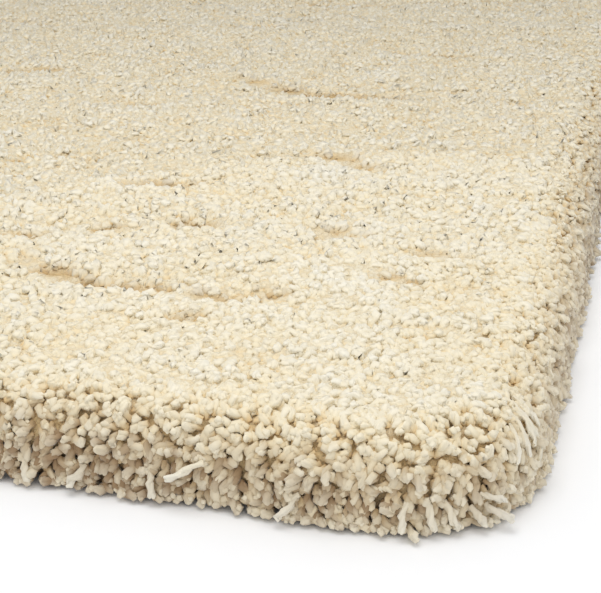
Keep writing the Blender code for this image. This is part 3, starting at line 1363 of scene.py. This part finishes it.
STRAYS = (
    Stray((88, 33, -0.6), (84, 20, 0.8), 1.4, 0.95, 0.06),
    Stray((84, 35, -0.6), (78, 19, 1.0), -0.8, 0.90, 0.06),
    Stray((80, 32, -0.8), (74, 18, 1.1), 1.0, 1.00, 0.05),
    Stray((74, 31, -0.7), (68, 16, 1.3), -0.7, 0.95, 0.07),
    Stray((68, 29, -0.7), (60, 17, 1.1), 0.6, 0.90, 0.06),
    Stray((82, 24, -0.7), (76, 11, 1.2), 0.8, 0.95, 0.08),
    Stray((44, 8, -0.5), (50, 4, 7.0), -0.8, 1.35, 0.20),
    Stray((42, 12, -0.4), (49, 9, 3.8), 0.6, 1.15, 0.16),
    Stray((38, 8, -0.5), (42, 3, 4.0), 0.4, 1.30, 0.22),
    Stray((23, 13, -0.4), (24, 3, 2.6), 0.6, 1.25, 0.10),
    Stray((16, 12, -0.4), (14, 3, 2.8), -0.6, 1.25, 0.12),
    Stray((29, 11, -0.4), (32, 3, 3.2), 0.5, 1.25, 0.14),
    Stray((-53, 17, 1.6), (-65, 10, 2.4), 0.3, 1.15, 0.04),
    Stray((-96, 10, -0.4), (-100, 3, 3.2), 0.5, 1.25, 0.20),
    Stray((-118, 10, -0.4), (-115, 3, 2.8), -0.5, 1.25, 0.20),
    Stray((-20, 11, -0.4), (-25, 3, 3.4), 0.5, 1.25, 0.14),
    Stray((-72, 11, -0.4), (-70, 3, 3.0), 0.5, 1.20, 0.16),
)


@dataclass
class LooseYarns:
    """Single yarns that lie over the front right corner's edge or stick out at its foot.

    Attributes:
        lowest: Least height of their centre lines.
    """

    form: PileForm
    loom: YarnLoom
    lowest: float = 2.0 * MM
    seed: int = 53

    def build(self, material: bpy.types.Material) -> bpy.types.Object:
        """Build them all as one piece.

        Args:
            material: The finish.

        Returns:
            The piece.
        """
        draw = np.random.RandomState(self.seed)
        sweep = Detail.FINE.value
        s = np.array((0.0, 0.25, 0.48, 0.72, 0.94, 1.0))[None]
        start = np.array([stray.start for stray in STRAYS]) * MM
        end = np.array([stray.end for stray in STRAYS]) * MM
        way = start[:, None] + (end - start)[:, None] * s[..., None]
        bow = np.array([stray.bow for stray in STRAYS])[:, None] * MM
        kink = draw.normal(0, 0.5, way.shape[:2]) * MM
        along = way[..., 0] + bow * np.sin(math.pi * s) + kink
        points, outward = self.form.on_roll(along, way[..., 1], way[..., 2])
        points[..., 2] = np.maximum(points[..., 2], self.lowest)
        radius = np.array([stray.radius for stray in STRAYS])[:, None] * MM
        # Painted shade for each stray, deepest at its root
        gloom = np.array([stray.gloom for stray in STRAYS])[:, None] * (1.6 - s)
        under = np.zeros_like(along)
        tone = draw.uniform(-1, 1, len(STRAYS))
        strands = Strands.of_yarns(draw, points, sweep, radius, tone, gloom, s, under, outward)
        return self.loom.weave("edge_strays", strands, sweep, material, 31.0)


@dataclass
class DeepPile:
    """The dense lower pile: the solid's own form, drawn in by the length of yarn standing over it.

    Attributes:
        sink: How far the tips stand over it at the rug's edge.
        sink_inside: How far they stand over it further in, where the pile is matted.
        foot: Height of its lowest rim.
        lumps: How far it goes up and down between yarns.
        gloom_foot: Height up to which its painted shade is deepest.
        gloom_top: Height from which it gets no painted shade.
        edge_bend_shade: How much golden painted shade the rolled edge gets, in the colour used along open
            partings.
    """

    form: PileForm
    lay: PileLay
    sink: float = 3.0 * MM
    sink_inside: float = 0.95 * MM
    foot: float = 2.6 * MM
    lumps: float = 0.4 * MM
    gloom_foot: float = 4 * MM
    gloom_top: float = 21 * MM
    edge_bend_shade: float = 0.9
    seed: int = 3

    def build(self, material: bpy.types.Material) -> bpy.types.Object:
        """Build the dense lower pile as one closed mesh.

        Args:
            material: The finish.

        Returns:
            The piece.
        """
        mesh = self.form.solid.copy()
        bmesh.ops.subdivide_edges(mesh, edges=mesh.edges, cuts=1, use_grid_fill=True)
        mesh.normal_update()
        draw = np.random.RandomState(self.seed)
        bottom = {vert for vert in mesh.verts if vert.co.z < 0.3 * MM}
        _, lift, _, parting_shade = self.lay.read(np.array([vert.co[:2] for vert in mesh.verts]))
        moves = {}
        insets = []
        for vert, raised in zip(mesh.verts, lift):
            inset, outward = self.form.outline.inset(np.array(vert.co.x), np.array(vert.co.y))
            insets.append(float(inset))
            out = Vector((float(outward[0]), float(outward[1]), 0.0))
            if vert in bottom:
                moves[vert] = vert.co - out * (self.sink + 5 * MM)
                moves[vert].z = self.foot
            else:
                matted = float(smooth_step(inset, 12 * MM, 38 * MM))
                sink = self.sink + (self.sink_inside - self.sink) * matted
                place = vert.co - vert.normal * (sink + draw.normal(0, self.lumps))
                place.z += 0.8 * float(raised) * float(smooth_step(inset, 15 * MM, 30 * MM))
                place.z = max(place.z, self.foot + 0.5 * MM)
                moves[vert] = place
        for vert, place in moves.items():
            vert.co = place
        data = bpy.data.meshes.new("pile_base")
        mesh.to_mesh(data)
        mesh.free()
        # Painted shade: deepest by the floor, none higher up
        shade = data.attributes.new("gloom", "FLOAT", "POINT")
        heights = np.array([vert.co.z for vert in data.vertices])
        gloom = 1 - smooth_step(heights, self.gloom_foot, self.gloom_top)
        shade.data.foreach_set("value", gloom.astype(np.float32))
        # Golden painted shade along open partings and in the edge's bend
        golden = data.attributes.new("parted_shade", "FLOAT", "POINT")
        rolled = self.edge_bend_shade * (1 - smooth_step(np.array(insets), 8 * MM, 28 * MM))
        parted_shade = np.maximum(smooth_step(parting_shade, 0.25, 0.85), rolled)
        golden.data.foreach_set("value", parted_shade.astype(np.float32))
        data.materials.append(material)
        data.shade_smooth()
        return put_in_scene("pile_base", data)


@dataclass
class Backing:
    """The woven cloth that the yarns are tufted into, flat on the floor."""

    form: PileForm
    inset: float = 12 * MM
    thickness: float = 2.4 * MM

    @property
    def flat(self) -> tuple[float, float]:
        """Width and length of the cut cloth."""
        outline = self.form.outline
        return 2 * (outline.half_x - self.inset), 2 * (outline.half_y - self.inset)

    @property
    def area(self) -> float:
        """Area of the cut cloth, with its corners rounded off."""
        width, length = self.flat
        radius = self.form.outline.radius - self.inset
        return width * length - (4 - math.pi) * radius**2

    def build(self, material: bpy.types.Material) -> bpy.types.Object:
        """Build the cloth as one closed sheet.

        Args:
            material: The finish.

        Returns:
            The piece.
        """
        outline = self.form.outline
        stations = 220
        point, normal = outline.at(np.arange(stations) * outline.length / stations)
        rim = point - normal * self.inset
        mesh = bmesh.new()
        lower = mesh.faces.new([mesh.verts.new((x, y, 0.0)) for x, y in rim])
        raised = bmesh.ops.extrude_face_region(mesh, geom=[lower])["geom"]
        for vert in (item for item in raised if isinstance(item, bmesh.types.BMVert)):
            vert.co.z = self.thickness
        bmesh.ops.recalc_face_normals(mesh, faces=mesh.faces)
        data = bpy.data.meshes.new("backing")
        mesh.to_mesh(data)
        mesh.free()
        data.materials.append(material)
        return put_in_scene("backing", data)


# ---------------------------------------------------------------------------------------------------
# Stage
# ---------------------------------------------------------------------------------------------------


@dataclass
class Studio:
    """Camera, lights and floor.

    Attributes:
        beside: How far the camera stands past the rug's right edge.
        before: How far it stands before the front edge.
        height: Height of the lens over the floor.
        turn: How far it is turned to the left of the rug's long side.
        tilt: How far it looks down.
        lens: Focal length in millimetres.
        sky: Strength of the even light from all round.
        lamp_place: Where the lamp hangs.
        lamp_aim: The point that it faces.
        lamp_size: Length of its side.
        lamp_power: Its power in watts.
    """

    beside: float = 0.026
    before: float = 0.360
    height: float = 0.237
    turn: float = math.radians(15.6)
    tilt: float = math.radians(22.6)
    lens: float = 80.0
    sky: float = 0.80
    lamp_place: Place = (0.13, -0.36, 0.72)
    lamp_aim: Place = (0.13, -0.28, 0.0)
    lamp_size: float = 0.5
    lamp_power: float = 1.85

    def camera(self, form: PileForm) -> None:
        """Stand the camera at the front right corner.

        Args:
            form: The pile's outer form, which gives that corner.
        """
        data = bpy.data.cameras.new("camera")
        data.lens = self.lens
        data.sensor_width = 36.0
        data.clip_start = 0.01
        data.clip_end = 50.0
        camera = put_in_scene("camera", data)
        camera.location = (form.high.x + self.beside, form.low.y - self.before, self.height)
        camera.rotation_euler = (math.pi / 2 - self.tilt, 0.0, self.turn)
        bpy.context.scene.camera = camera

    def lamp(self, name: str, place: Place, aim: Place, size: float, power: float, tint: Colour) -> None:
        """Hang a square soft lamp.

        Args:
            name: Its name.
            place: Where it hangs.
            aim: The point that it faces.
            size: Length of its side.
            power: Its power in watts.
            tint: Its colour.
        """
        data = bpy.data.lights.new(name, "AREA")
        data.size = size
        data.energy = power
        data.color = tint
        lamp = put_in_scene(name, data)
        lamp.location = place
        lamp.rotation_euler = (Vector(aim) - Vector(place)).to_track_quat("-Z", "Y").to_euler()

    def lights(self) -> None:
        """Light the rug evenly from all round, and softly from a lamp above its front."""
        scene = bpy.context.scene
        world = bpy.data.worlds.new("studio_air")
        world.use_nodes = True
        air = world.node_tree.nodes["Background"]
        air.inputs["Color"].default_value = opaque((0.995, 0.995, 1.0))
        air.inputs["Strength"].default_value = self.sky
        scene.world = world
        scene.view_settings.view_transform = "Standard"
        warm = (1.0, 0.985, 0.95)
        self.lamp("key_lamp", self.lamp_place, self.lamp_aim, self.lamp_size, self.lamp_power, warm)

    def floor(self) -> None:
        """Lay a plain white floor."""
        material = bpy.data.materials.new("studio_floor")
        material.use_nodes = True
        shader = material.node_tree.nodes["Principled BSDF"]
        shader.inputs["Base Color"].default_value = opaque((0.955, 0.965, 0.985))
        shader.inputs["Roughness"].default_value = 0.9
        shader.inputs["Specular IOR Level"].default_value = 0.1
        mesh = bmesh.new()
        bmesh.ops.create_grid(mesh, x_segments=1, y_segments=1, size=12.0)
        data = bpy.data.meshes.new("studio_floor")
        mesh.to_mesh(data)
        mesh.free()
        data.materials.append(material)
        floor = put_in_scene("studio_floor", data)
        floor.location.z = -0.2 * MM


@dataclass
class ShagRug:
    """The whole rug: backing, dense lower pile, standing pile, hanging pile and loose yarns."""

    form: PileForm
    pieces: list[bpy.types.Object] = field(default_factory=list)

    def build(self) -> None:
        """Build every piece, attach each to the rug's body, log that it is in place, and hide the imported
        solid.
        """
        yarn = YarnFinish().material()
        loom = YarnLoom()
        outline = self.form.outline
        lay = PileLay(outline.half_x, outline.half_y)
        cloth = Backing(self.form)
        backing = cloth.build(BackingFinish().material())
        pile = [DeepPile(self.form, lay).build(MatFinish().material())]
        pile += StandingPile(self.form, lay, loom).build(yarn)
        pile += HangingPile(self.form, loom).build(yarn)
        pile.append(LooseYarns(self.form, loom).build(yarn))
        self.pieces = [backing, *pile]
        for piece in self.pieces:
            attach(piece, BODY)
            LOG.info("%s is in place", piece.name)
        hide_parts(RUG_NODE)


def corners(box: tuple[Vector, Vector]) -> list[list[float]]:
    """A box as two plain lists of numbers."""
    return [list(corner) for corner in box]


def main() -> None:
    """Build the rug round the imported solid, and stage it."""
    logging.basicConfig(level=logging.INFO, format="%(name)s: %(message)s")
    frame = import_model()
    form = PileForm(frame["nodes"][RUG_NODE])
    studio = Studio()
    studio.camera(form)
    studio.lights()
    studio.floor()
    ShagRug(form).build()
    form.solid.free()


if __name__ == "__main__":
    main()
